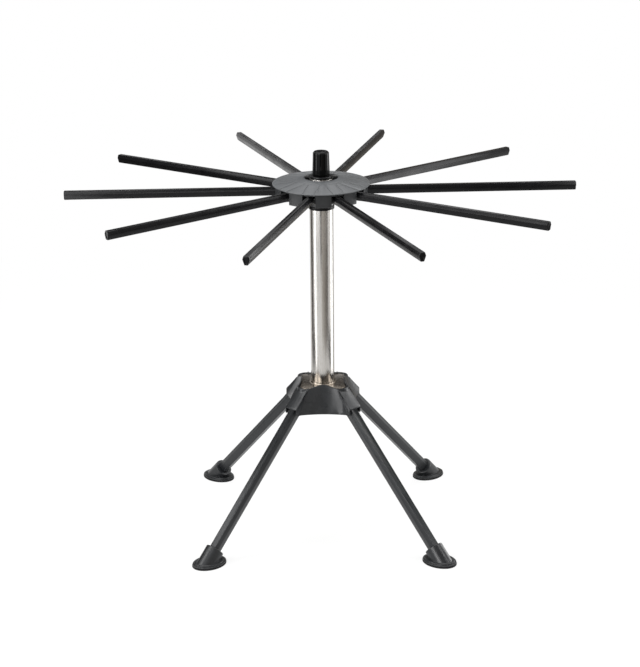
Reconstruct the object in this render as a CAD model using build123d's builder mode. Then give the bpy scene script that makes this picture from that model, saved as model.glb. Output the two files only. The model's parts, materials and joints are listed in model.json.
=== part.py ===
from build123d import *
from math import atan2, cos, degrees, hypot, radians, sin, sqrt, tan
import os

os.makedirs("parts", exist_ok=True)

# A folding pasta drying rack. Millimetres, +Z up.
# The origin is on the floor, under the axis of the tube.
# Ten arms fold down round a wheel on top of a steel tube, and the tube stands on four legs.

# Clearances
press_gap = 0.02          # radial gap of a pressed or pushed fit
running_gap = 0.05        # radial gap of a pin or shaft that turns or slides
free_gap = 0.3            # air between pieces that move past each other
overrun = 3.0             # how far a cut runs past the face that it leaves

# Arms
arm_count = 10
arm_turn = 2.6            # degrees from +X to the first arm
arm_reach = 215.0         # axis of the tube to the end of an arm
arm_height = 297.7        # centre line of a level arm above the floor
arm_width = 6.0
arm_depth = 7.3
arm_top_width = 4.0
arm_bottom_width = 2.8
arm_edge_drop = 2.8       # top of an arm down to its widest line
arm_end_chamfer = 0.5
arm_pivot_radius = 32.0
arm_barrel_length = 10.2  # the cross barrel that the pin runs through
arm_pin_radius = 1.2
arm_pin_seat = 1.5        # how deep each end of a pin sits in the drum

# Tube
tube_radius = 10.0
tube_wall = 1.2
tube_head_rise = 2.4      # end of the tube above the recess of the cover

# Wheel: slotted drum and its cover
drum_radius = 39.2
drum_wall = 2.0
drum_skirt = 5.4          # centre line of the arms down to the edge of the drum
drum_web = 2.0
drum_roof = 1.6
drum_bevel = 0.6
lip_height = 1.9          # lip of the drum, round the spigot of the cover
lip_wall = 2.2
slot_side_wall = 3.0
slot_edge_fillet = 0.5
hub_wall = 2.6            # round the tube, inside the drum
collar_wall = 1.2         # round the tube, under the drum
collar_drop = 6.9         # edge of the drum down to the foot of its collar
cover_overhang = 1.8      # how far the cover stands out past the drum
cover_rim = 2.7           # underside of the spigot up to the top of its rim
cover_rim_bevel = 0.3
cover_slope = 9.4         # degrees
cover_wall = 2.0
cover_step_radius = 21.0
cover_step = 0.25
cover_recess_radius = 14.4
cover_recess = 2.0
cover_bore_gap = 1.2
groove_spacing = 9.8      # between the two grooves over each arm
groove_width = 0.7
groove_depth = 0.4

# Screws that hold the cover to the drum
cover_screw_count = 5
cover_screw_circle = 20.4
cover_boss_radius = 3.0
cover_screw_radius = 1.3
cover_screw_head_radius = 2.7
cover_screw_head = 1.8
cover_screw_bite = 6.0    # how far a screw goes into its boss

# Rings on the tube that keep the wheel in its place
stop_ring_height = 2.8
stop_ring_wall = 1.0
stop_ring_fillet = 0.5
lock_ring_flange = 1.1
lock_ring_flange_radius = 9.3
lock_ring_fillet = 0.4
lock_ring_sleeve = 9.0
lock_ear_radius = 1.7
lock_ear_reach = 13.6
lock_ear_neck = 1.1       # half the width of the neck that carries an ear

# Stick that is kept in the tube
stick_radius = 6.6
stick_shoulder = 0.8      # how far the head stands out past the stick
stick_head_taper = 0.6
stick_head_height = 20.5
stick_head_chamfer = 1.1
stick_foot_gap = 12.2     # lower end of the stick above the plug
stick_hollow_radius = 4.3
stick_hollow_depth = 7.0
stick_end_fillet = 4.0

# Legs
leg_count = 4
leg_turn = 45.0           # degrees from +X to the first leg
leg_pivot_radius = 27.0
leg_width = 8.4
leg_depth = 9.0
leg_top_width = 5.9
leg_bottom_width = 5.1
leg_edge_drop = 3.3       # upper face of a leg down to its widest line
leg_pin_radius = 1.5
leg_pin_seat = 1.4

# Feet
foot_circle_radius = 136.7
foot_trail = 0.8          # middle of the foot plate out to the end of the leg
foot_half_length = 15.6   # along the leg
foot_half_width = 12.0
foot_tier_inset = 1.6
foot_tier = 1.0           # height of each of the two steps
foot_collar_radius = 7.9
foot_collar_length = 11.2
foot_collar_fillet = 0.8
leg_end_gap = 3.8         # end of the leg short of the top of the foot plate
pad_lip = 0.3             # how far a pad stands out past its foot
pad_thickness = 1.3
pad_plug_radius = 3.0
pad_plug_height = 0.7

# Base body: a housing over each leg, joined by hollow sides that lean out
base_rim = 128.2          # rim of the base above the floor
base_height = 21.0
base_wall = 1.4
side_radius_at_rim = 20.0
side_radius_at_foot = 28.0
housing_reach = 39.4      # axis of the tube to the end of a leg housing
housing_roof = 2.6
housing_side = 2.3
housing_taper = 0.2       # how much narrower each half of a housing is at the rim
housing_root_at_rim = 24.0   # axis of the tube to where the sides of a housing begin
housing_root_at_foot = 37.4
mouth_lip = 1.0           # wall round the open end of a housing
mouth_depth = 3.0
leg_pivot_drop = 12.8     # rim down to the pins of the legs
rim_reach = 28.2          # axis of the tube to the corners of the rim
rim_set_back = 0.2        # upright rim inside the top of the sides
web_thickness = 2.2
web_drop = 1.5            # rim down to the seat of the dish
boss_wall = 2.4
boss_floor = 2.0
dish_thickness = 1.1
dish_gap = 0.25
dish_corner_gap = 1.8
dish_neck_rise = 1.8
dish_neck_wall = 0.7
dish_neck_fillet = 1.2

# Fixing of the tube
plug_length = 11.0
base_screw_radius = 2.0
base_screw_length = 9.0   # how far the screw goes into the plug
base_screw_head_radius = 3.9
base_screw_head = 2.4
washer_radius = 5.4
washer_thickness = 0.8
screw_cross_width = 0.9
screw_cross_share = 0.6   # depth and span of a cross recess, of its screw head

# Places worked out from the sizes above
arm_barrel_radius = arm_depth / 2
slot_width = arm_barrel_length + 2 * free_gap
slot_inner_radius = arm_pivot_radius - arm_barrel_radius - free_gap
drum_bottom = arm_height - drum_skirt
drum_top = arm_height + arm_barrel_radius + free_gap
drum_ring_inner_radius = slot_inner_radius - drum_wall
collar_bore_radius = tube_radius + running_gap
hub_radius = tube_radius + hub_wall
collar_radius = tube_radius + collar_wall
collar_bottom = drum_bottom - collar_drop
lip_top = drum_top + lip_height
spigot_radius = drum_radius - lip_wall - running_gap
cover_radius = drum_radius + cover_overhang
cover_rim_radius = cover_radius - cover_rim_bevel
cover_edge_top = drum_top + cover_rim
arm_angles = [arm_turn + index * 360 / arm_count for index in range(arm_count)]


def cover_height(radius):
    """Height of the sloping top of the cover at a radius."""
    return cover_edge_top + (cover_rim_radius - radius) * tan(radians(cover_slope))


recess_floor = cover_height(cover_recess_radius) + cover_step - cover_recess
tube_bore_radius = tube_radius - tube_wall
tube_top = recess_floor + tube_head_rise
stick_head_bottom = tube_top + lock_ring_flange + free_gap

base_bottom = base_rim - base_height
tube_bottom = base_bottom + boss_floor
web_top = base_rim - web_drop
web_bottom = web_top - web_thickness
leg_pivot_height = base_rim - leg_pivot_drop
leg_angles = [leg_turn + index * 360 / leg_count for index in range(leg_count)]
leg_names = ["back_right", "back_left", "front_left", "front_right"]

# A leg runs from its pin, along slope_out and slope_down, to the top of its foot plate
foot_top = pad_thickness + 2 * foot_tier
leg_end_radius = foot_circle_radius + foot_trail
leg_run = leg_end_radius - leg_pivot_radius
leg_fall = leg_pivot_height - foot_top
leg_length = hypot(leg_run, leg_fall)
slope_out = leg_run / leg_length
slope_down = leg_fall / leg_length
leg_pivot = (leg_pivot_radius, 0, leg_pivot_height)
leg_plane = Plane(origin=leg_pivot, x_dir=(0, 1, 0), z_dir=(slope_out, 0, -slope_down))

# The roof of a housing runs level with the leg under it, as part of one cone round the tube
roof_offset = leg_depth / 2 + free_gap + housing_roof
axis_radius_at_rim = leg_pivot_radius - leg_pivot_drop * slope_out / slope_down
cone_radius_at_rim = axis_radius_at_rim + roof_offset / slope_down
housing_half_width = leg_width / 2 + free_gap + housing_side


def save(piece, name):
    """Name a piece and write its file."""
    piece.label = name
    export_step(piece, f"parts/{name}.step")


def bar_section(plane, width, depth, top_width, bottom_width, edge_drop, margin=0):
    """Six-sided section of an arm or a leg: a flat top, widest a little below, narrow at the bottom."""
    top = depth / 2 + margin
    edge = depth / 2 - edge_drop
    with BuildSketch(plane) as section:
        with BuildLine():
            Polyline(
                (-top_width / 2 - margin, top),
                (-width / 2 - margin, edge),
                (-bottom_width / 2 - margin, -top),
                (bottom_width / 2 + margin, -top),
                (width / 2 + margin, edge),
                (top_width / 2 + margin, top),
                close=True,
            )
        make_face()
    return section.sketch


def leg_section(distance, margin=0):
    """Section of a leg at a distance from its pin."""
    plane = leg_plane.offset(distance)
    return bar_section(plane, leg_width, leg_depth, leg_top_width, leg_bottom_width, leg_edge_drop, margin)


def base_section(height, side_radius, root, half_width, inset):
    """Level section of the base: a housing over each leg, joined by hollow sides."""
    reach = housing_reach + overrun - inset
    half = half_width - inset
    shoulder = sqrt(reach**2 - half**2)
    with BuildSketch(Plane.XY.offset(height)) as section:
        with BuildLine():
            for angle in leg_angles:
                entry = Vector(root, -half).rotate(Axis.Z, angle)
                start = Vector(shoulder, -half).rotate(Axis.Z, angle)
                middle = Vector(reach, 0).rotate(Axis.Z, angle)
                end = Vector(shoulder, half).rotate(Axis.Z, angle)
                leave = Vector(root, half).rotate(Axis.Z, angle)
                side = Vector(side_radius - inset, 0).rotate(Axis.Z, angle + 180 / leg_count)
                Line(entry, start)
                ThreePointArc(start, middle, end)
                Line(end, leave)
                ThreePointArc(leave, side, entry.rotate(Axis.Z, 360 / leg_count))
        make_face()
    return section.sketch


def rim_section(height, inset, corner_gap=0):
    """Level section of the rim, the well or the dish: rounded corners joined by hollow sides."""
    half = housing_half_width - housing_taper - inset
    root = housing_root_at_rim - corner_gap
    with BuildSketch(Plane.XY.offset(height)) as section:
        with BuildLine():
            for angle in leg_angles:
                entry = Vector(root, -half).rotate(Axis.Z, angle)
                corner = Vector(rim_reach - inset - corner_gap, 0).rotate(Axis.Z, angle)
                leave = Vector(root, half).rotate(Axis.Z, angle)
                side = Vector(side_radius_at_rim - inset, 0).rotate(Axis.Z, angle + 180 / leg_count)
                ThreePointArc(entry, corner, leave)
                ThreePointArc(leave, side, entry.rotate(Axis.Z, 360 / leg_count))
        make_face()
    return section.sketch


def base_levels(inset=0):
    """Sections of the base at its lower edge and its rim."""
    rim_half_width = housing_half_width - housing_taper
    return [
        base_section(base_bottom, side_radius_at_foot, housing_root_at_foot, housing_half_width, inset),
        base_section(base_rim, side_radius_at_rim, housing_root_at_rim, rim_half_width, inset),
    ]


def outside_of_cone(inset, end_radius):
    """Ring outside the cone of the housings and outside an upright end."""
    run = slope_out / slope_down
    cone_radius = cone_radius_at_rim - inset / slope_down
    knee = base_rim - (end_radius - cone_radius) / run
    ring_radius = housing_reach + 2 * overrun
    with BuildPart() as ring:
        with BuildSketch(Plane.XZ):
            with BuildLine():
                Polyline(
                    (cone_radius - overrun * run, base_rim + overrun),
                    (end_radius, knee),
                    (end_radius, base_bottom - overrun),
                    (ring_radius, base_bottom - overrun),
                    (ring_radius, base_rim + overrun),
                    close=True,
                )
            make_face()
        revolve(axis=Axis.Z)
    return ring.part


def cross_recess(head_radius, head_height, plane):
    """Cross cut into the head of a screw, from a plane on its outer face."""
    span = 2 * head_radius * screw_cross_share
    with BuildPart() as cross:
        with BuildSketch(plane):
            Rectangle(span, screw_cross_width)
            Rectangle(screw_cross_width, span)
        extrude(amount=head_height * screw_cross_share)
    return cross.part


# Arm: a bar with a cross barrel at its inner end
arm_root = Plane(origin=(arm_pivot_radius, 0, arm_height), x_dir=(0, 1, 0), z_dir=(1, 0, 0))
with BuildPart() as arm:
    extrude(
        bar_section(arm_root, arm_width, arm_depth, arm_top_width, arm_bottom_width, arm_edge_drop),
        amount=arm_reach - arm_pivot_radius,
    )
    chamfer(arm.faces().sort_by(Axis.X)[-1].edges(), length=arm_end_chamfer)
    with BuildSketch(Plane.XZ):
        with Locations((arm_pivot_radius, arm_height)):
            Circle(arm_barrel_radius)
    extrude(amount=arm_barrel_length / 2, both=True)
    with BuildSketch(Plane.XZ):
        with Locations((arm_pivot_radius, arm_height)):
            Circle(arm_pin_radius + running_gap)
    extrude(amount=arm_barrel_length, both=True, mode=Mode.SUBTRACT)

for number, angle in enumerate(arm_angles, start=1):
    save(arm.part.rotate(Axis.Z, angle), f"arm_{number:02d}")

# Pins of the arms, pressed into the walls of their slots
arm_pin_half_length = slot_width / 2 + arm_pin_seat
with BuildPart() as arm_pins:
    for angle in arm_angles:
        with BuildSketch(Plane.XZ.rotated((0, 0, angle))):
            with Locations((arm_pivot_radius, arm_height)):
                Circle(arm_pin_radius)
        extrude(amount=arm_pin_half_length, both=True)
save(arm_pins.part, "arm_pins")

# Drum: a slotted ring, a web and the collar that turns on the tube
with BuildPart() as hub_drum:
    with BuildSketch(Plane.XZ):
        with BuildLine():
            Polyline(
                (collar_bore_radius, collar_bottom),
                (collar_radius, collar_bottom),
                (collar_radius, drum_bottom),
                (drum_radius - drum_bevel, drum_bottom),
                (drum_radius, drum_bottom + drum_bevel),
                (drum_radius, lip_top),
                (drum_radius - lip_wall, lip_top),
                (drum_radius - lip_wall, drum_top),
                (drum_ring_inner_radius, drum_top),
                (drum_ring_inner_radius, drum_bottom + drum_web),
                (hub_radius, drum_bottom + drum_web),
                (hub_radius, drum_top),
                (collar_bore_radius, drum_top),
                close=True,
            )
        make_face()
    revolve(axis=Axis.Z)
    # slots of the arms, open at the bottom so that the arms can fold down
    slot_length = drum_radius + overrun - slot_inner_radius
    with BuildSketch(Plane.XY.offset(drum_bottom - overrun)):
        with PolarLocations(slot_inner_radius + slot_length / 2, arm_count, start_angle=arm_turn):
            Rectangle(slot_length, slot_width)
    extrude(amount=lip_top - drum_bottom + 2 * overrun, mode=Mode.SUBTRACT)
    outer_slot_edges = hub_drum.edges().filter_by(Axis.Z).group_by(
        lambda edge: hypot(edge.center().X, edge.center().Y)
    )[-1]
    fillet(outer_slot_edges, radius=slot_edge_fillet)
    # cores that leave even walls between the slots
    with BuildSketch(Plane.XY.offset(drum_bottom)):
        Circle(drum_radius - drum_wall)
        Circle(slot_inner_radius, mode=Mode.SUBTRACT)
        with PolarLocations(drum_radius / 2, arm_count, start_angle=arm_turn):
            Rectangle(drum_radius, slot_width + 2 * slot_side_wall, mode=Mode.SUBTRACT)
    extrude(amount=drum_top - drum_roof - drum_bottom, mode=Mode.SUBTRACT)
    # seats of the pins
    for angle in arm_angles:
        with BuildSketch(Plane.XZ.rotated((0, 0, angle))):
            with Locations((arm_pivot_radius, arm_height)):
                Circle(arm_pin_radius + press_gap)
        extrude(amount=arm_pin_half_length, both=True, mode=Mode.SUBTRACT)
    # holes of the cover screws
    with BuildSketch(Plane.XY.offset(drum_bottom)):
        with PolarLocations(cover_screw_circle, cover_screw_count, start_angle=arm_turn):
            Circle(cover_screw_radius + running_gap)
    extrude(amount=drum_web, mode=Mode.SUBTRACT)
save(hub_drum.part, "hub_drum")

# Grooves that run down the slope of the cover, two over each arm
groove_start = cover_step_radius + groove_width
groove_length = cover_radius + overrun - groove_start
slope_x = Vector(cos(radians(cover_slope)), 0, -sin(radians(cover_slope)))
slope_z = Vector(sin(radians(cover_slope)), 0, cos(radians(cover_slope)))
with BuildPart() as cover_grooves:
    for side in (-1, 1):
        for angle in arm_angles:
            corner = Vector(groove_start, side * groove_spacing / 2, cover_height(groove_start))
            groove_plane = Plane(
                origin=corner.rotate(Axis.Z, angle),
                x_dir=slope_x.rotate(Axis.Z, angle),
                z_dir=slope_z.rotate(Axis.Z, angle),
            )
            with BuildSketch(groove_plane):
                with Locations((groove_length / 2, 0)):
                    Rectangle(groove_length, groove_width)
            extrude(amount=groove_depth, both=True)

# Cover: a shallow cone with a recess round the head of the tube and a spigot inside the drum's lip
boss_foot = drum_bottom + drum_web
with BuildPart() as hub_cover:
    with BuildSketch(Plane.XZ):
        with BuildLine():
            Polyline(
                (tube_radius + cover_bore_gap, drum_top),
                (hub_radius, drum_top),
                (hub_radius + cover_wall, recess_floor - cover_wall),
                (cover_recess_radius + cover_wall, cover_height(cover_recess_radius) - cover_wall),
                (drum_ring_inner_radius, cover_height(drum_ring_inner_radius) - cover_wall),
                (drum_ring_inner_radius, drum_top),
                (spigot_radius, drum_top),
                (spigot_radius, lip_top),
                (cover_radius, lip_top),
                (cover_radius, cover_edge_top - cover_rim_bevel),
                (cover_rim_radius, cover_edge_top),
                (cover_step_radius, cover_height(cover_step_radius)),
                (cover_step_radius, cover_height(cover_step_radius) + cover_step),
                (cover_recess_radius, cover_height(cover_recess_radius) + cover_step),
                (cover_recess_radius, recess_floor),
                (tube_radius + cover_bore_gap, recess_floor),
                close=True,
            )
        make_face()
    revolve(axis=Axis.Z)
    # bosses that stand on the web of the drum
    with BuildSketch(Plane.XY.offset(boss_foot)):
        with PolarLocations(cover_screw_circle, cover_screw_count, start_angle=arm_turn):
            Circle(cover_boss_radius)
    extrude(amount=cover_height(cover_screw_circle) - cover_wall / 2 - boss_foot)
    with BuildSketch(Plane.XY.offset(boss_foot)):
        with PolarLocations(cover_screw_circle, cover_screw_count, start_angle=arm_turn):
            Circle(cover_screw_radius + press_gap)
    extrude(amount=cover_screw_bite + free_gap, mode=Mode.SUBTRACT)
    add(cover_grooves.part, mode=Mode.SUBTRACT)
save(hub_cover.part, "hub_cover")

# Screws that come up through the web into the cover
cover_screw_face = Plane.XY.offset(drum_bottom - cover_screw_head)
with BuildPart() as cover_screws:
    with BuildSketch(cover_screw_face):
        with PolarLocations(cover_screw_circle, cover_screw_count, start_angle=arm_turn):
            Circle(cover_screw_head_radius)
    extrude(amount=cover_screw_head)
    with BuildSketch(Plane.XY.offset(drum_bottom)):
        with PolarLocations(cover_screw_circle, cover_screw_count, start_angle=arm_turn):
            Circle(cover_screw_radius)
    extrude(amount=drum_web + cover_screw_bite)
    with PolarLocations(cover_screw_circle, cover_screw_count, start_angle=arm_turn):
        add(
            cross_recess(cover_screw_head_radius, cover_screw_head, cover_screw_face),
            mode=Mode.SUBTRACT,
        )
save(cover_screws.part, "cover_screws")

# Tube
with BuildPart() as centre_tube:
    with BuildSketch(Plane.XY.offset(tube_bottom)):
        Circle(tube_radius)
        Circle(tube_bore_radius, mode=Mode.SUBTRACT)
    extrude(amount=tube_top - tube_bottom)
save(centre_tube.part, "centre_tube")

# Ring under the collar of the drum, which carries the wheel
with BuildPart() as stop_ring:
    with BuildSketch(Plane.XY.offset(collar_bottom - free_gap)):
        Circle(tube_radius + stop_ring_wall)
        Circle(tube_radius + press_gap, mode=Mode.SUBTRACT)
    extrude(amount=-stop_ring_height)
    ring_edges = stop_ring.edges().filter_by(GeomType.CIRCLE).group_by(SortBy.RADIUS)[-1]
    fillet(ring_edges, radius=stop_ring_fillet)
save(stop_ring.part, "stop_ring")

# Ring in the head of the tube, with two ears over the recess that keep the wheel on
ear_height = recess_floor + free_gap + lock_ear_radius
ear_start = tube_radius + running_gap
ear_neck_rise = lock_ring_flange - lock_ring_fillet
with BuildPart() as lock_ring:
    with BuildSketch(Plane.XY.offset(tube_top)):
        Circle(lock_ring_flange_radius)
    extrude(amount=lock_ring_flange)
    fillet(lock_ring.edges().sort_by(Axis.Z)[-1], radius=lock_ring_fillet)
    with BuildSketch(Plane.XY.offset(tube_top)):
        Circle(tube_bore_radius - press_gap)
    extrude(amount=-lock_ring_sleeve)
    with BuildSketch(Plane.XY.offset(tube_top)):
        Rectangle(2 * lock_ear_reach - 2 * lock_ear_radius, 2 * lock_ear_neck)
    extrude(amount=ear_neck_rise)
    for direction in (-1, 1):
        with BuildSketch(Plane.YZ.offset(direction * ear_start)):
            with Locations((0, ear_height)):
                Circle(lock_ear_radius)
        extrude(amount=direction * (lock_ear_reach - ear_start))
    with BuildSketch(Plane.XY.offset(tube_top - lock_ring_sleeve)):
        Circle(stick_radius + running_gap)
    extrude(amount=lock_ring_sleeve + lock_ring_flange, mode=Mode.SUBTRACT)
save(lock_ring.part, "lock_ring")

# Stick for lifting the pasta, with a hollow tapered head
stick_head_radius = stick_radius + stick_shoulder
stick_head_top = stick_head_bottom + stick_head_height
stick_bottom = tube_bottom + plug_length + stick_foot_gap
with BuildPart() as lifting_stick:
    with BuildSketch(Plane.XZ):
        with BuildLine():
            Polyline(
                (0, stick_bottom),
                (stick_radius, stick_bottom),
                (stick_radius, stick_head_bottom),
                (stick_head_radius, stick_head_bottom),
                (stick_head_radius - stick_head_taper, stick_head_top),
                (stick_hollow_radius, stick_head_top),
                (stick_hollow_radius, stick_head_top - stick_hollow_depth),
                (0, stick_head_top - stick_hollow_depth),
                close=True,
            )
        make_face()
    revolve(axis=Axis.Z)
    top_edges = lifting_stick.edges().filter_by(GeomType.CIRCLE).group_by(Axis.Z)[-1]
    chamfer(top_edges.sort_by(SortBy.RADIUS)[-1], length=stick_head_chamfer)
    fillet(lifting_stick.edges().group_by(Axis.Z)[0], radius=stick_end_fillet)
save(lifting_stick.part, "lifting_stick")

# Leg: a bar with a rounded end on its pin
with BuildPart() as leg:
    extrude(leg_section(0), amount=leg_length - leg_end_gap)
    with BuildSketch(Plane.XZ):
        with Locations((leg_pivot_radius, leg_pivot_height)):
            Circle(leg_depth / 2)
    extrude(amount=leg_width / 2, both=True)
    with BuildSketch(Plane.XZ):
        with Locations((leg_pivot_radius, leg_pivot_height)):
            Circle(leg_pin_radius + running_gap)
    extrude(amount=leg_width, both=True, mode=Mode.SUBTRACT)

# Foot: a stepped oval plate and a sloping collar round the end of the leg
collar_start = leg_plane.offset(leg_length + foot_collar_radius)
with BuildPart() as foot:
    with BuildSketch(collar_start):
        Circle(foot_collar_radius)
    extrude(amount=-foot_collar_length - foot_collar_radius)
    fillet(foot.edges().sort_by(Axis.Z)[-1], radius=foot_collar_fillet)
    split(bisect_by=Plane.XY.offset(pad_thickness), keep=Keep.TOP)
    with BuildSketch(Plane.XY.offset(pad_thickness)):
        with Locations((foot_circle_radius, 0)):
            Ellipse(foot_half_length, foot_half_width)
    extrude(amount=foot_tier)
    with BuildSketch(Plane.XY.offset(pad_thickness + foot_tier)):
        with Locations((foot_circle_radius, 0)):
            Ellipse(foot_half_length - foot_tier_inset, foot_half_width - foot_tier_inset)
    extrude(amount=foot_tier)
    leg_socket = leg_section(leg_length - leg_end_gap, press_gap)
    extrude(leg_socket, amount=-2 * foot_collar_length, mode=Mode.SUBTRACT)
    with BuildSketch(Plane.XY.offset(pad_thickness)):
        with Locations((foot_circle_radius, 0)):
            Circle(pad_plug_radius + press_gap)
    extrude(amount=pad_plug_height, mode=Mode.SUBTRACT)

# Pad: the soft sole under a foot
with BuildPart() as pad:
    with BuildSketch(Plane.XY):
        with Locations((foot_circle_radius, 0)):
            Ellipse(foot_half_length + pad_lip, foot_half_width + pad_lip)
    extrude(amount=pad_thickness)
    with BuildSketch(Plane.XY.offset(pad_thickness)):
        with Locations((foot_circle_radius, 0)):
            Circle(pad_plug_radius)
    extrude(amount=pad_plug_height)

for corner, angle in zip(leg_names, leg_angles):
    save(leg.part.rotate(Axis.Z, angle), f"leg_{corner}")
    save(foot.part.rotate(Axis.Z, angle), f"foot_{corner}")
    save(pad.part.rotate(Axis.Z, angle), f"pad_{corner}")

# Pins of the legs, blind in the sides of their housings
leg_pin_half_length = leg_width / 2 + free_gap + leg_pin_seat
with BuildPart() as leg_pins:
    for angle in leg_angles:
        with BuildSketch(Plane.XZ.rotated((0, 0, angle))):
            with Locations((leg_pivot_radius, leg_pivot_height)):
                Circle(leg_pin_radius)
        extrude(amount=leg_pin_half_length, both=True)
save(leg_pins.part, "leg_pins")

# Space that one leg needs in the base: its own section, its round end, and its way in and down
reach_out = (leg_pivot_height - base_bottom + overrun) / slope_down + leg_depth
round_end = leg_depth / 2 + free_gap
edge_line = leg_depth / 2 - leg_edge_drop
top_of_way = (leg_pivot_radius + edge_line * slope_down, leg_pivot_height + edge_line * slope_out)
with BuildPart() as leg_space:
    extrude(leg_section(0, free_gap), amount=reach_out)
    with BuildSketch(Plane.XZ):
        with Locations((leg_pivot_radius, leg_pivot_height)):
            Circle(round_end)
        with BuildLine():
            Polyline(
                top_of_way,
                (top_of_way[0] + reach_out * slope_out, top_of_way[1] - reach_out * slope_down),
                (leg_pivot_radius - round_end, top_of_way[1] - reach_out * slope_down),
                (leg_pivot_radius - round_end, leg_pivot_height),
                (leg_pivot_radius, leg_pivot_height),
                close=True,
            )
        make_face()
    extrude(amount=leg_width / 2 + free_gap, both=True)
    with BuildSketch(Plane.XZ):
        with Locations((leg_pivot_radius, leg_pivot_height)):
            Circle(leg_pin_radius + press_gap)
    extrude(amount=leg_pin_half_length, both=True)

# Hollow underside of the base, beside the seat of the tube and the leg housings
housing_span = housing_reach + 2 * overrun
with BuildPart() as base_hollow:
    loft(base_levels(base_wall), ruled=True)
    split(bisect_by=Plane.XY.offset(web_bottom), keep=Keep.BOTTOM)
    with BuildSketch(Plane.XY.offset(base_bottom)):
        Circle(tube_radius + boss_wall)
        with PolarLocations(housing_span / 2, leg_count, start_angle=leg_turn):
            Rectangle(housing_span, 2 * housing_half_width)
    extrude(amount=base_height, mode=Mode.SUBTRACT)

# Wider mouth at the open end of each housing
with BuildPart() as housing_mouths:
    loft(base_levels(mouth_lip), ruled=True)
    add(outside_of_cone(mouth_lip, housing_reach + overrun), mode=Mode.SUBTRACT)
    with BuildSketch(Plane.XY.offset(base_bottom)):
        Circle(housing_reach - mouth_depth)
    extrude(amount=base_height, mode=Mode.SUBTRACT)

# Base
pocket_start = tube_radius + boss_wall
pocket_end = leg_pivot_radius - round_end - housing_side
with BuildPart() as base_body:
    loft(base_levels(), ruled=True)
    add(base_hollow.part, mode=Mode.SUBTRACT)
    add(outside_of_cone(0, housing_reach), mode=Mode.SUBTRACT)
    add(housing_mouths.part, mode=Mode.SUBTRACT)
    # upright rim, and the well in it
    extrude(rim_section(web_bottom, rim_set_back), amount=base_rim - web_bottom)
    extrude(rim_section(web_top, base_wall), amount=web_drop + overrun, mode=Mode.SUBTRACT)
    # pockets that leave even walls between the seat of the tube and the legs
    with BuildSketch(Plane.XY.offset(base_bottom)):
        with PolarLocations((pocket_start + pocket_end) / 2, leg_count, start_angle=leg_turn):
            Rectangle(pocket_end - pocket_start, 2 * (housing_half_width - housing_side))
    extrude(amount=web_bottom - base_bottom, mode=Mode.SUBTRACT)
    # seat of the tube and hole of its screw
    with BuildSketch(Plane.XY.offset(tube_bottom)):
        Circle(tube_radius + press_gap)
    extrude(amount=base_height, mode=Mode.SUBTRACT)
    with BuildSketch(Plane.XY.offset(base_bottom)):
        Circle(base_screw_radius + running_gap)
    extrude(amount=boss_floor, mode=Mode.SUBTRACT)
    for angle in leg_angles:
        add(leg_space.part.rotate(Axis.Z, angle), mode=Mode.SUBTRACT)
save(base_body.part, "base_body")

# Dish: the bright plate in the well of the base, with a neck round the tube
with BuildPart() as base_dish:
    extrude(rim_section(web_top, base_wall + dish_gap, dish_corner_gap), amount=dish_thickness)
    with BuildSketch(Plane.XY.offset(web_top)):
        Circle(tube_radius + dish_neck_wall)
    extrude(amount=dish_thickness + dish_neck_rise)
    neck_foot = base_dish.edges().filter_by(GeomType.CIRCLE).filter_by(
        lambda edge: edge.radius == tube_radius + dish_neck_wall
    )
    fillet(neck_foot.sort_by(Axis.Z)[0], radius=dish_neck_fillet)
    with BuildSketch(Plane.XY.offset(web_top)):
        Circle(tube_radius + running_gap)
    extrude(amount=dish_thickness + dish_neck_rise, mode=Mode.SUBTRACT)
save(base_dish.part, "base_dish")

# Plug in the foot of the tube, and the screw and washer that draw it down
with BuildPart() as tube_plug:
    with BuildSketch(Plane.XY.offset(tube_bottom)):
        Circle(tube_bore_radius - press_gap)
        Circle(base_screw_radius + press_gap, mode=Mode.SUBTRACT)
    extrude(amount=plug_length)
save(tube_plug.part, "tube_plug")

washer_bottom = base_bottom - washer_thickness
with BuildPart() as base_washer:
    with BuildSketch(Plane.XY.offset(washer_bottom)):
        Circle(washer_radius)
        Circle(base_screw_radius + running_gap, mode=Mode.SUBTRACT)
    extrude(amount=washer_thickness)
save(base_washer.part, "base_washer")

base_screw_face = Plane.XY.offset(washer_bottom - base_screw_head)
with BuildPart() as base_screw:
    with BuildSketch(base_screw_face):
        Circle(base_screw_head_radius)
    extrude(amount=base_screw_head)
    with BuildSketch(Plane.XY.offset(washer_bottom)):
        Circle(base_screw_radius)
    extrude(amount=washer_thickness + boss_floor + base_screw_length)
    add(
        cross_recess(base_screw_head_radius, base_screw_head, base_screw_face),
        mode=Mode.SUBTRACT,
    )
save(base_screw.part, "base_screw")

print(f"leg slope {degrees(atan2(leg_run, leg_fall)):.2f} degrees, leg length {leg_length:.1f}")
print(f"tube {tube_bottom:.1f} to {tube_top:.1f}")
print(f"recess floor {recess_floor:.2f}, head of the stick {stick_head_bottom:.2f} to {stick_head_top:.2f}")
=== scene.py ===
# %% [markdown]
# A folding rack for drying pasta. Ten black arms stand out from a wheel on a steel tube,
# and the tube stands on four splayed legs.
# The model from the CAD is loaded first. It is the fixed frame: every piece made here goes
# where that model says, in metres, with the floor at z = 0 and the tube along z.

# %% Load the frame
import json
from math import cos, radians, sin

import bpy
from mathutils import Matrix, Vector


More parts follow.
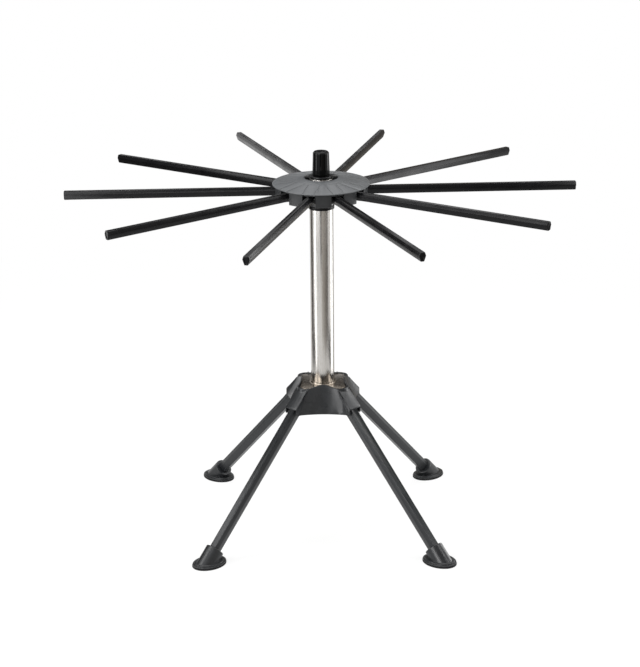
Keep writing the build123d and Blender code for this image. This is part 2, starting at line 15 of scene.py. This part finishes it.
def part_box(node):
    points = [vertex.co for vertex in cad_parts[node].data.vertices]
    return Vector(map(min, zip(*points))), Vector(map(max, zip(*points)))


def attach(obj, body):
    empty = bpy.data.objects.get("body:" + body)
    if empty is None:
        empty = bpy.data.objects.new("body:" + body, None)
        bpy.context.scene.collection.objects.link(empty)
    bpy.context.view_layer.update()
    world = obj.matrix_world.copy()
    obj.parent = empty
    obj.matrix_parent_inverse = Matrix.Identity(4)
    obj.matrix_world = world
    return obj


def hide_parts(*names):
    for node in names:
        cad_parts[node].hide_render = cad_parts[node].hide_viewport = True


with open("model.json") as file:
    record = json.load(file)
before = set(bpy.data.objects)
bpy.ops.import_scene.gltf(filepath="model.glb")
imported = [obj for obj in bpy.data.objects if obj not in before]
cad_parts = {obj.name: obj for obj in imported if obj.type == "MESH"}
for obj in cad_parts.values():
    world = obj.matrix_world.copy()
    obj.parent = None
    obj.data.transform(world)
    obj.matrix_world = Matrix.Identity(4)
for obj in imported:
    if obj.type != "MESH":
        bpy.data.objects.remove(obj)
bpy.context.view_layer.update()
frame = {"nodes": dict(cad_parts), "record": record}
nodes = frame["nodes"]
scene = bpy.context.scene
MM = 0.001
print("nodes", len(nodes), "triangles", sum(len(node.data.polygons) for node in nodes.values()))

# %% [markdown]
# The camera stands where the photographer stood: nearly two metres away with a long lens,
# a little above the wheel. The rack leans a little in the photograph, and the camera's roll
# of half a degree stands for that. The lens is given for the longer side of the picture,
# which is its height here.

# %% Camera
elevation = radians(18.458)
roll = radians(-0.5)
distance = 1.846
aim = Vector((-0.00205, 0.0, 0.17094))
lens = 116.21
sensor = 36.0
far_end = 60.0
backward = Vector((0.0, -cos(elevation), sin(elevation)))
level_right = Vector((1.0, 0.0, 0.0))
level_up = backward.cross(level_right)
camera_right = cos(roll) * level_right + sin(roll) * level_up
camera_up = cos(roll) * level_up - sin(roll) * level_right

camera_data = bpy.data.cameras.new("camera")
camera_data.lens = lens
camera_data.sensor_width = sensor
camera_data.clip_end = far_end
camera = bpy.data.objects.new("camera", camera_data)
scene.collection.objects.link(camera)
camera.rotation_euler = Matrix((camera_right, camera_up, backward)).transposed().to_euler()
camera.location = aim + distance * backward
scene.camera = camera
scene.view_settings.view_transform = "Standard"
print("camera at", [round(value, 3) for value in camera.location])

# %% [markdown]
# Every colour is written as the hex value that a screen shows. Blender works in linear
# light, so one function turns the hex value into that. A second small function adds a node
# with its settings and its links, so that each material reads as a short list.


# %% Colour and node helpers
def linear(hex_value):
    """The linear colour of an sRGB hex value such as '#1b1b1d'."""
    channels = [int(hex_value[place:place + 2], 16) / 255 for place in (1, 3, 5)]
    return tuple(c / 12.92 if c <= 0.04045 else ((c + 0.055) / 1.055) ** 2.4 for c in channels) + (1.0,)


def add_node(tree, kind, settings=None, links=None):
    """A node with its values, and with links from other nodes' sockets to its inputs."""
    made = tree.nodes.new(kind)
    for name, value in (settings or {}).items():
        if isinstance(name, int) or name in made.inputs:
            made.inputs[name].default_value = value
        else:
            setattr(made, name, value)
    for name, source in (links or {}).items():
        tree.links.new(source, made.inputs[name])
    return made


print("screen grey #808080 is", round(linear("#808080")[0], 3), "in linear light")

# %% [markdown]
# The rack stands in a plain white studio. To the camera, and in the reflections on steel and
# on glossy plastic, the floor and the room are plain white. A part of the floor near the rack
# is ordinary pale paint, and that part takes the rack's soft shadow. Further out the paint
# fades away, so that the background is one even white.


# %% Floor
def seen_directly(tree):
    """A socket: 1 for what the camera, a reflection or a clear piece shows, 0 for diffuse light."""
    path = add_node(tree, "ShaderNodeLightPath")
    direct = add_node(tree, "ShaderNodeMath", {"operation": "MAXIMUM"},
                      {0: path.outputs["Is Camera Ray"], 1: path.outputs["Is Glossy Ray"]})
    return add_node(tree, "ShaderNodeMath", {"operation": "MAXIMUM"},
                    {0: direct.outputs[0], 1: path.outputs["Is Transmission Ray"]}).outputs[0]


floor_radius = 12.0
floor_height = -0.0002      # a hair under the pads
fade_start, fade_end = 0.25, 0.9
white_near_rack = 0.8       # the rest of the floor there is paint, which takes the shadow
bpy.ops.object.select_all(action="DESELECT")
bpy.ops.mesh.primitive_circle_add(vertices=96, radius=floor_radius, fill_type="NGON",
                                  location=(0, 0, floor_height))
floor = bpy.context.object
floor.name = "studio_floor"
floor_paint = bpy.data.materials.new("pale_floor_paint")
floor_paint.use_nodes = True
tree = floor_paint.node_tree
tree.nodes.clear()
place = add_node(tree, "ShaderNodeTexCoord").outputs["Object"]
from_rack = add_node(tree, "ShaderNodeVectorMath", {"operation": "LENGTH"}, {0: place})
white_share = add_node(tree, "ShaderNodeMapRange",
                       {"From Min": fade_start, "From Max": fade_end, "To Min": white_near_rack,
                        "To Max": 1.0, "interpolation_type": "SMOOTHSTEP"},
                       {"Value": from_rack.outputs["Value"]})
share = add_node(tree, "ShaderNodeMath", {"operation": "MULTIPLY"},
                 {0: white_share.outputs[0], 1: seen_directly(tree)})
paint = add_node(tree, "ShaderNodeBsdfDiffuse", {"Color": linear("#f4f4f3")})
glow = add_node(tree, "ShaderNodeEmission", {"Color": (1, 1, 1, 1), "Strength": 1.0})
blend = add_node(tree, "ShaderNodeMixShader",
                 links={0: share.outputs[0], 1: paint.outputs[0], 2: glow.outputs[0]})
add_node(tree, "ShaderNodeOutputMaterial", links={"Surface": blend.outputs[0]})
floor.data.materials.append(floor_paint)
print("floor", floor_radius, "m in radius, its paint fades from", fade_start, "to", fade_end, "m")

# %% [markdown]
# The walls of the room are the world's background. It is full white where it is seen, and
# dimmer where it only lights the rack, so that dark plastic stays dark.

# %% Room
diffuse_level, seen_level = 0.35, 1.0
room = bpy.data.worlds.new("white_room")
room.use_nodes = True
tree = room.node_tree
tree.nodes.clear()
room_level = add_node(tree, "ShaderNodeMapRange", {"To Min": diffuse_level, "To Max": seen_level},
                      {"Value": seen_directly(tree)})
walls = add_node(tree, "ShaderNodeBackground", {"Color": (1, 1, 1, 1)}, {"Strength": room_level.outputs[0]})
add_node(tree, "ShaderNodeOutputWorld", links={"Surface": walls.outputs[0]})
scene.world = room
print("room level", diffuse_level, "for diffuse light and", seen_level, "where it is seen")

# %% [markdown]
# The light is soft and plain, as for a catalogue. A wide panel hangs overhead. In front there
# is a larger panel on the left and a weaker one on the right, and these light the two halves
# of the hollow front of the base. Two narrow panels stand high at the sides.


# %% Lamps
def stand_at(thing, azimuth, reach, height, target_height):
    """Put a lamp or a card round the rack and turn it to the tube: 0 is in front, 90 at the right."""
    thing.location = (reach * sin(radians(azimuth)), -reach * cos(radians(azimuth)), height)
    towards = Vector((0, 0, target_height)) - thing.location
    thing.rotation_euler = towards.to_track_quat("-Z", "Y").to_euler()


def light_panel(title, azimuth, reach, height, target_height, width, tall, power):
    """A rectangular lamp that faces the rack."""
    data = bpy.data.lights.new(title, "AREA")
    data.shape = "RECTANGLE"
    data.size = width
    data.size_y = tall
    data.energy = power
    lamp = bpy.data.objects.new(title, data)
    lamp.visible_camera = False
    scene.collection.objects.link(lamp)
    stand_at(lamp, azimuth, reach, height, target_height)


light_panel("top_panel", azimuth=200, reach=0.4, height=1.9, target_height=0.25,
            width=1.8, tall=1.4, power=26.0)
light_panel("key_panel", azimuth=-32, reach=1.7, height=0.98, target_height=0.15,
            width=0.8, tall=0.9, power=16.0)
light_panel("fill_panel", azimuth=38, reach=1.7, height=0.95, target_height=0.15,
            width=0.6, tall=0.8, power=8.0)
light_panel("left_high_panel", azimuth=-74, reach=0.95, height=0.72, target_height=0.15,
            width=0.35, tall=0.7, power=5.0)
light_panel("right_high_panel", azimuth=76, reach=0.95, height=0.72, target_height=0.15,
            width=0.25, tall=0.7, power=3.0)
print("lamps", len(bpy.data.lights))

# %% [markdown]
# A steel tube has no colour of its own, it only shows what stands round it. So a photographer
# puts cards beside it, just out of the picture: dark ones draw the dark lines that make it
# look round, and bright strips draw the light ones. Cards further away keep the arms, the
# plate of the base and the middle of its front dark. All of them are seen by reflections
# alone, and they neither light the rack nor shade it.


# %% Cards
def shade_card(title, azimuth, reach, width, tall, colours, level=1.0, lift=0.0):
    """A card that only reflections show, shaded from its lower azimuth to its higher one."""
    bpy.ops.mesh.primitive_plane_add(size=1.0)
    card = bpy.context.object
    card.name = title
    card.scale = (width, tall, 1.0)
    stand_at(card, azimuth, reach, lift + tall / 2, lift + tall / 2)
    card.visible_camera = False
    card.visible_diffuse = False
    card.visible_shadow = False
    card.visible_transmission = False
    paper = bpy.data.materials.new(title + "_paper")
    paper.use_nodes = True
    tree = paper.node_tree
    tree.nodes.clear()
    across = add_node(tree, "ShaderNodeSeparateXYZ",
                      links={0: add_node(tree, "ShaderNodeTexCoord").outputs["Object"]}).outputs["X"]
    place = add_node(tree, "ShaderNodeMath", {"operation": "ADD", 1: 0.5}, {0: across})
    shade = add_node(tree, "ShaderNodeMix",
                     {"data_type": "RGBA", 6: linear(colours[0]), 7: linear(colours[1])},
                     {0: place.outputs[0]})
    surface = add_node(tree, "ShaderNodeEmission", {"Strength": level}, {"Color": shade.outputs[2]})
    add_node(tree, "ShaderNodeOutputMaterial", links={"Surface": surface.outputs[0]})
    card.data.materials.append(paper)


card_height = 0.5
low_card_height = 0.06
# close to the tube, and taller than the rack
shade_card("right_card", azimuth=30, reach=0.28, width=0.335, tall=card_height,
           colours=("#d2cdc6", "#2c241b"))
shade_card("left_card", azimuth=-108, reach=0.28, width=0.173, tall=card_height,
           colours=("#5d564e", "#3a342d"))
shade_card("back_card", azimuth=155, reach=0.28, width=0.133, tall=card_height,
           colours=("#8d8881", "#8d8881"))
shade_card("left_strip", azimuth=-66, reach=0.27, width=0.035, tall=card_height,
           colours=("#ffffff", "#ffffff"), level=7.0)
shade_card("right_strip", azimuth=106, reach=0.27, width=0.078, tall=card_height,
           colours=("#ffffff", "#ffffff"), level=5.5)
# behind and in front, further away
shade_card("far_card", azimuth=180, reach=1.5, width=1.3, tall=0.7,
           colours=("#262626", "#262626"), lift=0.4)
shade_card("front_card", azimuth=0, reach=1.0, width=0.5, tall=0.9,
           colours=("#1c1c1c", "#1c1c1c"), lift=0.05)
# low ones, for the sides of the housings
shade_card("low_right_card", azimuth=80, reach=0.26, width=0.17, tall=low_card_height,
           colours=("#0c0c0c", "#0c0c0c"))
shade_card("low_left_card", azimuth=-88, reach=0.26, width=0.14, tall=low_card_height,
           colours=("#0c0c0c", "#0c0c0c"))

# %% [markdown]
# The plastics are injection moulded. The mould is spark-eroded, which leaves a very fine
# orange-peel, so the gloss is satin and slightly uneven, and faint flow marks change it a
# little over a centimetre or two. A moulded surface has no direction, so two plain noise
# textures do: a fine one for the grain and a broad one for the flow marks. The grain is near
# 0.2 mm on the real one; it is drawn at 0.6 mm so that it shows.

# %% Moulded plastics
noise_low, noise_high = 0.3, 0.7    # most of a noise texture's values lie between these
plastic_ior = 1.53
flow_mm = 14.0
flow_glossier, flow_duller = 0.05, 0.06
grain_gloss = 0.10
grain_depth_mm = 0.05


def new_material(title):
    """An empty material with a Principled shader on its output."""
    material = bpy.data.materials.new(title)
    material.use_nodes = True
    tree = material.node_tree
    tree.nodes.clear()
    shader = add_node(tree, "ShaderNodeBsdfPrincipled")
    add_node(tree, "ShaderNodeOutputMaterial", links={"Surface": shader.outputs[0]})
    place = add_node(tree, "ShaderNodeTexCoord").outputs["Object"]
    return material, tree, shader, place


def moulded_plastic(title, colour, light_colour, roughness, specular=0.3, grain_mm=0.6, bump=0.12):
    """Injection-moulded plastic: a fine eroded grain, faint flow marks and a slightly uneven gloss."""
    material, tree, shader, place = new_material(title)
    shader.inputs["IOR"].default_value = plastic_ior
    shader.inputs["Specular IOR Level"].default_value = specular
    grain = add_node(tree, "ShaderNodeTexNoise",
                     {"Scale": 1 / (grain_mm * MM), "Detail": 3.0, "Roughness": 0.6}, {"Vector": place})
    flow = add_node(tree, "ShaderNodeTexNoise", {"Scale": 1 / (flow_mm * MM), "Detail": 2.0},
                    {"Vector": place})
    tone = add_node(tree, "ShaderNodeMix",
                    {"data_type": "RGBA", 6: linear(colour), 7: linear(light_colour)}, {0: flow.outputs[0]})
    tree.links.new(tone.outputs[2], shader.inputs["Base Color"])
    gloss = add_node(tree, "ShaderNodeMapRange",
                     {"From Min": noise_low, "From Max": noise_high,
                      "To Min": roughness - flow_glossier, "To Max": roughness + flow_duller},
                     {"Value": flow.outputs[0]})
    speckle = add_node(tree, "ShaderNodeMath",
                       {"operation": "MULTIPLY_ADD", 1: grain_gloss, 2: -grain_gloss / 2},
                       {0: grain.outputs[0]})
    total = add_node(tree, "ShaderNodeMath", {"operation": "ADD"},
                     {0: gloss.outputs[0], 1: speckle.outputs[0]})
    tree.links.new(total.outputs[0], shader.inputs["Roughness"])
    relief = add_node(tree, "ShaderNodeBump", {"Strength": bump, "Distance": grain_depth_mm * MM},
                      {"Height": grain.outputs[0]})
    tree.links.new(relief.outputs[0], shader.inputs["Normal"])
    return material


# arms and stop ring: black ABS, with a tight shine along the edges
black_abs = moulded_plastic("satin_black_moulded_abs", "#08080a", "#0d0d0f", 0.27, 0.14)
# drum: the same in dark grey
drum_abs = moulded_plastic("satin_dark_grey_moulded_abs", "#202122", "#28292b", 0.36, 0.3)
# cover: anthracite, dull enough to look even under the panel overhead
grey_abs = moulded_plastic("satin_anthracite_moulded_abs", "#47494b", "#505254", 0.42, 0.4)
# base: nylon from a finer mould, glossy enough for its hollow front to show the panels
base_nylon = moulded_plastic("satin_base_moulded_nylon", "#1a1b1d", "#202224", 0.28, 0.36)
# legs and plug: glass-filled nylon, a little duller
charcoal_nylon = moulded_plastic("satin_charcoal_moulded_nylon", "#1c1d1f", "#242628", 0.36, 0.3)
# feet: the same nylon, darker
foot_nylon = moulded_plastic("satin_foot_moulded_nylon", "#17181a", "#1e2022", 0.32, 0.35)
# stick: from a polished mould, black and mirror-like, with no grain that shows
gloss_black = moulded_plastic("polished_black_moulded_abs", "#040404", "#070707", 0.10, 0.14, bump=0.0)
# ring in the recess of the cover: acetal, springy and slightly waxy
ring_acetal = moulded_plastic("satin_black_moulded_acetal", "#0d0d0e", "#131314", 0.3, 0.3)
# pads: moulded rubber, which is dull and has a deeper grain that takes a little dust
pad_rubber = moulded_plastic("moulded_pad_rubber", "#0d0d0e", "#171718", 0.78, 0.2, grain_mm=0.5, bump=0.3)
print("moulded materials", sum("moulded" in material.name for material in bpy.data.materials))

# %% [markdown]
# The tube is stainless steel, brushed along its length: the brush leaves hair lines that
# catch the light as fine upright streaks, and handling leaves faint dull smudges. A noise
# texture that is stretched along z gives the lines, because it runs on unbroken round the
# tube. They are near 0.1 mm apart on the real one and are drawn at 0.35 mm, so that they show.

# %% Steel
line_glossier, line_duller = 0.05, 0.07
smudge_mm = 22.0
smudge_gloss = 0.08
hair_line_depth_mm = 0.02


def brushed_steel(title, colour, dark_colour, roughness, streak_mm, length_mm, bump):
    """Steel with hair lines along z."""
    material, tree, shader, place = new_material(title)
    shader.inputs["Metallic"].default_value = 1.0
    across, along = 1 / (streak_mm * MM), 1 / (length_mm * MM)
    stretch = add_node(tree, "ShaderNodeMapping", {"Scale": (across, across, along)}, {"Vector": place})
    lines = add_node(tree, "ShaderNodeTexNoise", {"Scale": 1.0, "Detail": 4.0, "Roughness": 0.65},
                     {"Vector": stretch.outputs[0]})
    cloud = add_node(tree, "ShaderNodeTexNoise", {"Scale": 1 / (smudge_mm * MM), "Detail": 2.0},
                     {"Vector": place})
    tone = add_node(tree, "ShaderNodeMix",
                    {"data_type": "RGBA", 6: linear(dark_colour), 7: linear(colour)}, {0: lines.outputs[0]})
    tree.links.new(tone.outputs[2], shader.inputs["Base Color"])
    gloss = add_node(tree, "ShaderNodeMapRange",
                     {"From Min": noise_low, "From Max": noise_high,
                      "To Min": roughness - line_glossier, "To Max": roughness + line_duller},
                     {"Value": lines.outputs[0]})
    smudge = add_node(tree, "ShaderNodeMath",
                      {"operation": "MULTIPLY_ADD", 1: smudge_gloss, 2: -smudge_gloss / 2},
                      {0: cloud.outputs[0]})
    total = add_node(tree, "ShaderNodeMath", {"operation": "ADD"},
                     {0: gloss.outputs[0], 1: smudge.outputs[0]})
    tree.links.new(total.outputs[0], shader.inputs["Roughness"])
    relief = add_node(tree, "ShaderNodeBump", {"Strength": bump, "Distance": hair_line_depth_mm * MM},
                      {"Height": lines.outputs[0]})
    tree.links.new(relief.outputs[0], shader.inputs["Normal"])
    return material


# tube: stainless steel, brushed lengthwise in long strokes
tube_steel = brushed_steel("brushed_stainless_tube", "#c9c7c4", "#b3afaa", 0.24,
                           streak_mm=0.35, length_mm=45.0, bump=0.25)
# plate of the base: pressed stainless steel; its colour is darker and warmer than the tube's, as painted
# shade from the wheel above it and a painted warm reflection
dish_steel_painted_shade = brushed_steel("pressed_stainless_dish_painted_shade", "#a0978c", "#82796e", 0.24,
                           streak_mm=0.35, length_mm=30.0, bump=0.15)
# screws, pins and washer: turned and zinc-plated, greyer and duller
screw_steel = brushed_steel("turned_zinc_steel", "#a9a9a8", "#8c8c8b", 0.34,
                            streak_mm=0.5, length_mm=3.0, bump=0.2)
print("steels", tube_steel.name, dish_steel_painted_shade.name, screw_steel.name)

# %% [markdown]
# A moulded or turned piece has no sharp edge: each is rounded by a few tenths of a
# millimetre, and that thin rounding is what draws the bright line along it. A bevel that is
# limited by angle rounds the real edges and leaves the fine steps of curved faces alone.

# %% Rounded edges
smooth_angle = 35           # degrees up to which an edge is shaded smooth


def deselect():
    """Leave nothing selected, because an operator acts on all that is."""
    bpy.ops.object.select_all(action="DESELECT")


def take_up(piece):
    """Make a piece the only selected and active object."""
    deselect()
    piece.select_set(True)
    bpy.context.view_layer.objects.active = piece


def round_edges(piece, radius_mm, segments=3, angle=25):
    """Bevel the sharp edges of a piece, where it has any, and shade the rest smooth."""
    take_up(piece)
    if radius_mm:
        bevel = piece.modifiers.new("rounded edges", "BEVEL")
        bevel.width = radius_mm * MM
        bevel.segments = segments
        bevel.limit_method = "ANGLE"
        bevel.angle_limit = radians(angle)
        bevel.use_clamp_overlap = False
        bpy.ops.object.modifier_apply(modifier=bevel.name)
    bpy.ops.object.shade_smooth_by_angle(angle=radians(smooth_angle))


print("edges up to", smooth_angle, "degrees are shaded smooth")

# %% [markdown]
# Tube, rings, washer and stick are round. The real ones are cut from tube or turned, so here
# they are turned too: a ring of points is extruded and resized from height to height along
# an outline, and the last ring is joined to the first or closed in a pole.

# %% Turning
points_round = 96
merge_gap_mm = 0.002


def turned(title, outline_mm, to_pole=False):
    """A round piece from (radius, height) points in mm that go round its section once."""
    deselect()
    radius, height = outline_mm[0]
    bpy.ops.mesh.primitive_circle_add(vertices=points_round, radius=radius * MM,
                                      location=(0, 0, height * MM))
    piece = bpy.context.object
    piece.name = title
    bpy.ops.object.transform_apply(location=True, rotation=False, scale=False)
    bpy.ops.object.mode_set(mode="EDIT")
    bpy.ops.mesh.select_all(action="SELECT")
    for next_radius, next_height in outline_mm[1:]:
        step = (0, 0, (next_height - height) * MM)
        bpy.ops.mesh.extrude_region_move(TRANSFORM_OT_translate={"value": step})
        ratio = next_radius / radius
        bpy.ops.transform.resize(value=(ratio, ratio, 1), center_override=(0, 0, next_height * MM))
        radius, height = next_radius, next_height
    if to_pole:
        bpy.ops.mesh.merge(type="CENTER")
    bpy.ops.mesh.select_all(action="SELECT")
    bpy.ops.mesh.remove_doubles(threshold=merge_gap_mm * MM)
    bpy.ops.mesh.normals_make_consistent(inside=False)
    bpy.ops.object.mode_set(mode="OBJECT")
    return piece


def bore(inner, outer, bottom, top):
    """Outline of a plain tube or ring."""
    return [(inner, bottom), (outer, bottom), (outer, top), (inner, top), (inner, bottom)]


def reach_and_height(node):
    """Outer radius, lowest and highest point of a CAD node, in mm."""
    low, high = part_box(node)
    return high[0] / MM, low[2] / MM, high[2] / MM


tube_radius, tube_bottom, tube_top = reach_and_height("centre_tube")
print("tube", round(tube_radius, 2), round(tube_bottom, 1), round(tube_top, 1))

# %% [markdown]
# The tube is thin, and its rim stands just clear of the recess in the cover, where it shows
# as a fine light ring under the knob. The stop ring slides on the tube, and the washer sits
# under the base on its screw.

# %% Tube, stop ring and washer
tube_wall = 0.8
rim_drop = 0.9              # how far the rim is lowered, so that only a thin ring of it shows
ring_gap = 0.02
washer_bore = 2.1
tube = turned("centre_tube_brushed",
              bore(tube_radius - tube_wall, tube_radius, tube_bottom, tube_top - rim_drop))
round_edges(tube, radius_mm=0.15, segments=2)

ring_radius, ring_bottom, ring_top = reach_and_height("stop_ring")
stop_ring = turned("stop_ring_turned", bore(tube_radius + ring_gap, ring_radius, ring_bottom, ring_top))
round_edges(stop_ring, radius_mm=0.3)

washer_radius, washer_bottom, washer_top = reach_and_height("base_washer")
washer = turned("base_washer_pressed", bore(washer_bore, washer_radius, washer_bottom, washer_top))
round_edges(washer, radius_mm=0.12, segments=2)
print("stop ring radius", round(ring_radius, 2), "washer radius", round(washer_radius, 2))

# %% [markdown]
# The stick has a polished head. Its lower end is a dome, its head stands out a little, tapers
# and is hollow at the top. The broad soft edge at the top is what draws the thin bright arc
# there.

# %% Stick
head_radius, stick_bottom, stick_top = reach_and_height("lifting_stick")
head_shoulder = 0.8
head_height = 20.5
hollow_radius = 4.3
hollow_depth = 7.0
head_taper = 0.6
top_edge = 1.1
foot_round = 4.0
dome_step = 15              # degrees between the rings of the dome
stick_radius = head_radius - head_shoulder
head_bottom = stick_top - head_height
dome = []
for turn in range(0, 91, dome_step):
    inward = foot_round * (1 - sin(radians(turn)))
    upward = foot_round * (1 - cos(radians(turn)))
    dome.append((stick_radius - inward, stick_bottom + upward))
stick = turned("lifting_stick_polished", dome + [
    (stick_radius, head_bottom),
    (head_radius, head_bottom),
    (head_radius - head_taper, stick_top - top_edge),
    (head_radius - head_taper - top_edge, stick_top),
    (hollow_radius, stick_top),
    (hollow_radius, stick_top - hollow_depth),
], to_pole=True)
take_up(stick)
bpy.ops.object.mode_set(mode="EDIT")
bpy.ops.mesh.select_all(action="SELECT")
bpy.ops.mesh.fill_holes(sides=0)
bpy.ops.mesh.normals_make_consistent(inside=False)
bpy.ops.object.mode_set(mode="OBJECT")
round_edges(stick, radius_mm=0.35, angle=35)
print("stick", round(stick_bottom, 1), "to", round(stick_top, 1))

# %% [markdown]
# Each turned piece stands for its CAD node now. It is seen in the node's place, moves with
# the node's body and has one material, and the node itself stays for the physics.


# %% Turned pieces in place
def put_in_place(piece, node, body, material):
    """The piece stands for a CAD node, rides with its body and takes one material."""
    piece.data.materials.clear()
    piece.data.materials.append(material)
    for face in piece.data.polygons:
        face.material_index = 0
    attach(piece, body)
    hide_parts(node)


bodies = frame["record"]["behaviour"]["bodies"]
body_of_node = {node: body for body, members in bodies.items() for node in members}
turned_pieces = {
    "centre_tube": (tube, "tube_steel", tube_steel),
    "stop_ring": (stop_ring, "hub_plastic", black_abs),
    "base_washer": (washer, "small_steel", screw_steel),
    "lifting_stick": (stick, "stick_plastic", gloss_black),
}
for node, (piece, slot, material) in turned_pieces.items():
    put_in_place(piece, node, body_of_node[node], material)
    print(node, "rides on", body_of_node[node])

# %% [markdown]
# Each arm ends in a shallow dished face with a thin rim, as a bar moulded over a core has.
# The end face of the copy is inset and pushed in before the edges are rounded.

# %% Arm ends
end_rim_mm = 0.9
end_depth_mm = 0.6
facing = 0.99               # how squarely a face looks outward to count as the end
end_band_mm = 0.1


def dish_end(piece, node):
    """Inset the outer end of an arm, and push its middle in."""
    low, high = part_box(node)
    middle = (Vector(low) + Vector(high)) / 2
    outward = Vector((middle.x, middle.y, 0)).normalized()
    take_up(piece)
    bpy.ops.object.mode_set(mode="EDIT")
    bpy.ops.mesh.select_mode(type="FACE")
    bpy.ops.mesh.select_all(action="DESELECT")
    bpy.ops.object.mode_set(mode="OBJECT")
    reach = max(vertex.co.dot(outward) for vertex in piece.data.vertices)
    for face in piece.data.polygons:
        at_end = face.center.dot(outward) > reach - end_band_mm * MM
        face.select = at_end and face.normal.dot(outward) > facing
    bpy.ops.object.mode_set(mode="EDIT")
    bpy.ops.mesh.inset(thickness=end_rim_mm * MM, depth=0)
    bpy.ops.mesh.extrude_region_move(TRANSFORM_OT_translate={"value": -end_depth_mm * MM * outward})
    bpy.ops.object.mode_set(mode="OBJECT")


arm_nodes = [node for node in sorted(nodes) if node.startswith("arm_") and node != "arm_pins"]
print("arms", len(arm_nodes))

# %% [markdown]
# The rim of the base rises in a low arch over the middle of each side. The copy is cut into
# strips across each side, and the points of the rim are lifted along a smooth hump. They
# move inward a little as they rise, in line with the sloping side below them.

# %% Arched rim of the base
arch_half_width = 13.4
arch_rise = 2.7
strips_in_half = 6
arch_inner_reach = 12.0
side_slope = 0.38
rim_band_mm = 0.1
rim_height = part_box("base_body")[1][2]


def arch_rim(piece):
    """Lift the middle of the rim on the four sides of the base."""
    take_up(piece)
    bpy.ops.object.mode_set(mode="EDIT")
    for direction in ((1, 0, 0), (0, 1, 0)):
        for strip in range(-strips_in_half, strips_in_half + 1):
            cut = Vector(direction) * strip * arch_half_width / strips_in_half * MM
            bpy.ops.mesh.select_all(action="SELECT")
            bpy.ops.mesh.bisect(plane_co=cut, plane_no=direction)
    bpy.ops.object.mode_set(mode="OBJECT")
    lifted = 0
    for vertex in piece.data.vertices:
        x, y, z = vertex.co
        along, away = sorted((abs(x) / MM, abs(y) / MM))
        if z > rim_height - rim_band_mm * MM and along < arch_half_width and away > arch_inner_reach:
            rise = arch_rise * MM * cos(radians(90 * along / arch_half_width)) ** 2
            outward = Vector((0, y, 0)) if abs(y) > abs(x) else Vector((x, 0, 0))
            vertex.co += Vector((0, 0, rise)) - outward.normalized() * rise * side_slope
            lifted += 1
    print("rim points lifted", lifted)


# %% [markdown]
# Every other node gets its finished piece now. A CAD node is loose triangles, so a copy is
# merged and its flat faces are joined. Then its edges are rounded, by more on the large
# mouldings and by less on thin and small pieces, and it takes the node's place.

# %% Finished copies
flat_angle = 0.6            # degrees between faces that are joined


def merged_copy(node, title):
    """A copy of a CAD node with its corners merged and its flat faces joined."""
    piece = bpy.data.objects.new(title, nodes[node].data.copy())
    scene.collection.objects.link(piece)
    take_up(piece)
    bpy.ops.object.mode_set(mode="EDIT")
    bpy.ops.mesh.select_all(action="SELECT")
    bpy.ops.mesh.remove_doubles(threshold=merge_gap_mm * MM)
    bpy.ops.mesh.dissolve_limited(angle_limit=radians(flat_angle))
    bpy.ops.object.mode_set(mode="OBJECT")
    return piece


# node: slot of the record, material, radius of the rounded edges in mm
dressing = {
    "hub_cover": ("hub_plastic", grey_abs, 0.1),
    "hub_drum": ("hub_plastic", drum_abs, 0.3),
    "base_body": ("leg_plastic", base_nylon, 0.65),
    "base_dish": ("tube_steel", dish_steel_painted_shade, 0.15),
    "lock_ring": ("ring_plastic", ring_acetal, 0.0),
    "base_screw": ("small_steel", screw_steel, 0.15),
    "cover_screws": ("small_steel", screw_steel, 0.15),
    "arm_pins": ("small_steel", screw_steel, 0.1),
    "leg_pins": ("small_steel", screw_steel, 0.1),
    "tube_plug": ("leg_plastic", charcoal_nylon, 0.1),
}
for arm in arm_nodes:
    dressing[arm] = ("arm_plastic", black_abs, 0.3)
for corner in ("front_left", "front_right", "back_left", "back_right"):
    dressing[f"leg_{corner}"] = ("leg_plastic", charcoal_nylon, 0.4)
    dressing[f"foot_{corner}"] = ("foot_plastic", foot_nylon, 0.3)
    dressing[f"pad_{corner}"] = ("pad_rubber", pad_rubber, 0.25)
for node, (slot, material, radius) in dressing.items():
    piece = merged_copy(node, node + "_finished")
    if node in arm_nodes:
        dish_end(piece, node)
    if node == "base_body":
        arch_rim(piece)
    round_edges(piece, radius)
    put_in_place(piece, node, body_of_node[node], material)
    print(node, "triangles", sum(len(face.vertices) - 2 for face in piece.data.polygons))
